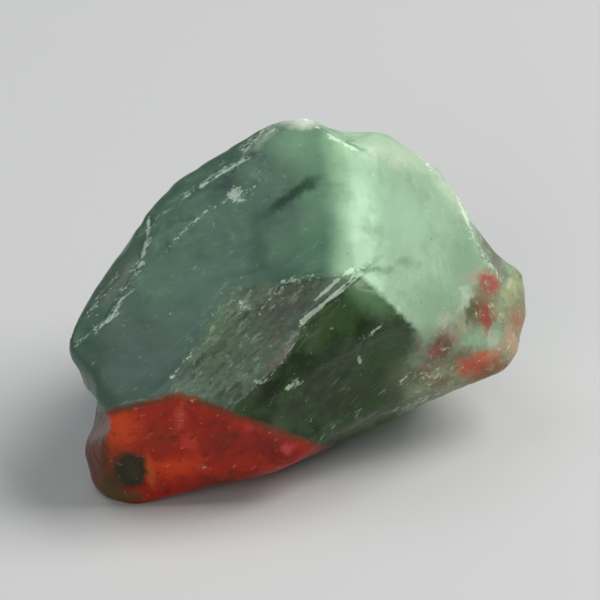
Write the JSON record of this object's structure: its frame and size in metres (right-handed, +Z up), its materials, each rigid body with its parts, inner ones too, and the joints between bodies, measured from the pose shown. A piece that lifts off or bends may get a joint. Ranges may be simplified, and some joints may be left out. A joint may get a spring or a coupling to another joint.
{
  "type": "rough bloodstone chunk",
  "caption": "Rough broken chunk of bloodstone: green chalcedony with red patches, worn edges, shell-shaped breaks and a flat face to rest on.",
  "frame": {"origin": "on the floor the stone rests on, under the centre of its box", "axes": "+X along the stone's longest extent, to the viewer's right when the red patch faces the viewer; +Y away from that viewer; +Z up"},
  "size_m": [0.0398, 0.032, 0.0276],
  "materials": {
    "stone": "waxy satin break surface of green chalcedony, milky pale on the ridge, red iron oxide patch on the front foot, whitish bruises along the edges"
  },
  "bodies": {
    "root": {"stone": "stone"}
  },
  "joints": []
}
